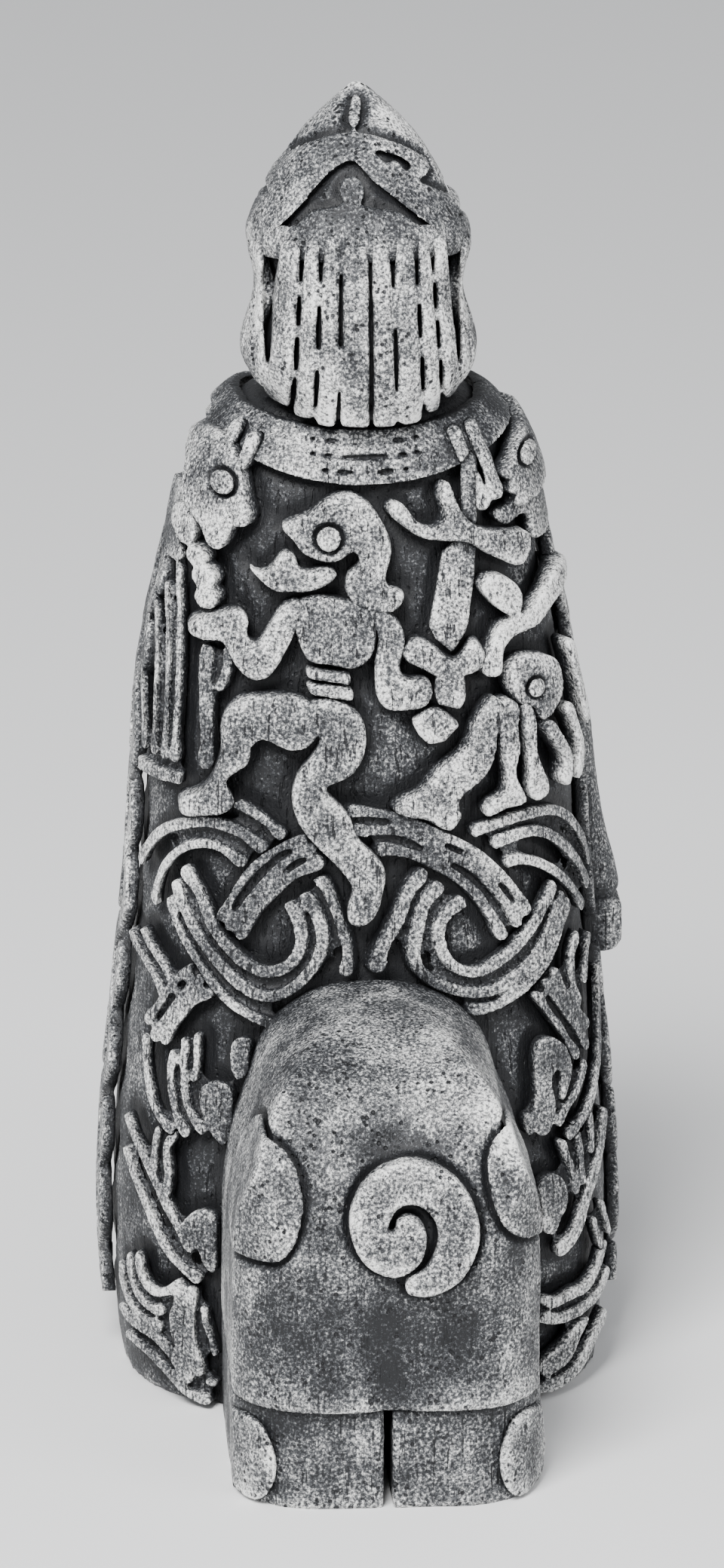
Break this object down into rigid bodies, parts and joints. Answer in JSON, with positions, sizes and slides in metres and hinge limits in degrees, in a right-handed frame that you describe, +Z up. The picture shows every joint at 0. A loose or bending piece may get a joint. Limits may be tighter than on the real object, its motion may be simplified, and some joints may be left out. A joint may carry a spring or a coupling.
{
  "type": "carved figurine",
  "caption": "Free-standing cast stone figure of a cloaked rider astride a boar, with a relief-carved cloak, a helmet and a flat underside.",
  "frame": {"origin": "middle of the footprint's bounding box, on the resting plane", "axes": "+Z up; +Y is the way the rider and the boar face; the carved back of the cloak and the boar's tail look along -Y"},
  "size_m": [0.096, 0.1913, 0.235],
  "materials": {
    "stone_ground": "matt cast stone, near-black in the hollows with grey dry-brushing and fine pits",
    "stone_relief": "matt cast stone, silver-white dry-brushed high spots over charcoal, with a vertical wood grain"
  },
  "bodies": {
    "root": {"beard": "stone_relief", "beast_head": "stone_relief", "boar_ears": "stone_relief", "boar_eyes": "stone_relief", "boar_head": "stone_ground", "boar_mane": "stone_relief", "boar_rump": "stone_ground", "boar_snout": "stone_relief", "boar_tusks": "stone_relief", "carved_eyes": "stone_relief", "cloak_body": "stone_ground", "cloak_edges": "stone_relief", "collar_back": "stone_relief", "collar_front": "stone_relief", "collar_knots": "stone_relief", "flank_plaits": "stone_relief", "foe_arms": "stone_relief", "foe_head": "stone_relief", "foe_legs": "stone_relief", "forelegs": "stone_ground", "gown_pleats": "stone_relief", "hair_beads": "stone_relief", "hair_core": "stone_ground", "hair_locks": "stone_relief", "head": "stone_ground", "helmet_bands": "stone_relief", "helmet_cap": "stone_ground", "helmet_rim": "stone_relief", "helmet_tufts": "stone_relief", "hero_arms": "stone_relief", "hero_head": "stone_relief", "hero_legs": "stone_relief", "hero_torso": "stone_relief", "hip_panels": "stone_relief", "hock_left": "stone_ground", "hock_right": "stone_ground", "left_arch_band": "stone_relief", "left_arm": "stone_relief", "left_cross_band": "stone_relief", "left_foot_curl": "stone_relief", "left_hook": "stone_relief", "left_loop_band": "stone_relief", "left_low_band": "stone_relief", "left_tail_band": "stone_relief", "moustache": "stone_relief", "nose": "stone_relief", "rear_hooves": "stone_relief", "right_arch_band": "stone_relief", "right_arm": "stone_relief", "right_cross_band": "stone_relief", "right_foot_curl": "stone_relief", "right_hook": "stone_relief", "right_loop_band": "stone_relief", "right_low_band": "stone_relief", "right_tail_band": "stone_relief", "robe_folds": "stone_relief", "side_face": "stone_relief", "sword_blade": "stone_relief", "sword_hilt": "stone_relief", "tail_curl": "stone_relief"}
  },
  "joints": []
}
